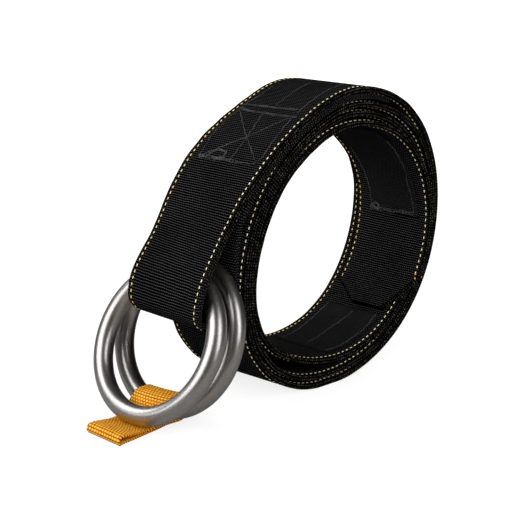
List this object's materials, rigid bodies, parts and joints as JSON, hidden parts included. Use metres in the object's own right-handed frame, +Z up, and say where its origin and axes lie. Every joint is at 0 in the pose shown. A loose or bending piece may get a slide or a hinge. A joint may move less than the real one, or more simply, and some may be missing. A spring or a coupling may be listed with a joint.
{
  "type": "ring belt",
  "caption": "Dark two-ply webbing belt rolled into a coil on its edge, with round steel rings in a sewn loop and an orange webbing pull tab.",
  "frame": {"origin": "on the floor under the coil's axis, on the flat that the outermost turn rests on", "axes": "+Z up; the coil's axis is along Y with its near rim facing -Y; the rings and the pull tab lie on the -X side"},
  "size_m": [0.1778, 0.0672, 0.1236],
  "materials": {
    "strap_webbing": "matte",
    "patch_webbing": "matte",
    "ring_steel": "satin",
    "tab_webbing": "matte"
  },
  "bodies": {
    "root": {"belt_strap": "strap_webbing", "upper_patch": "patch_webbing", "lower_patch": "patch_webbing", "front_ring": "ring_steel", "back_ring": "ring_steel", "pull_tab": "tab_webbing"}
  },
  "joints": []
}
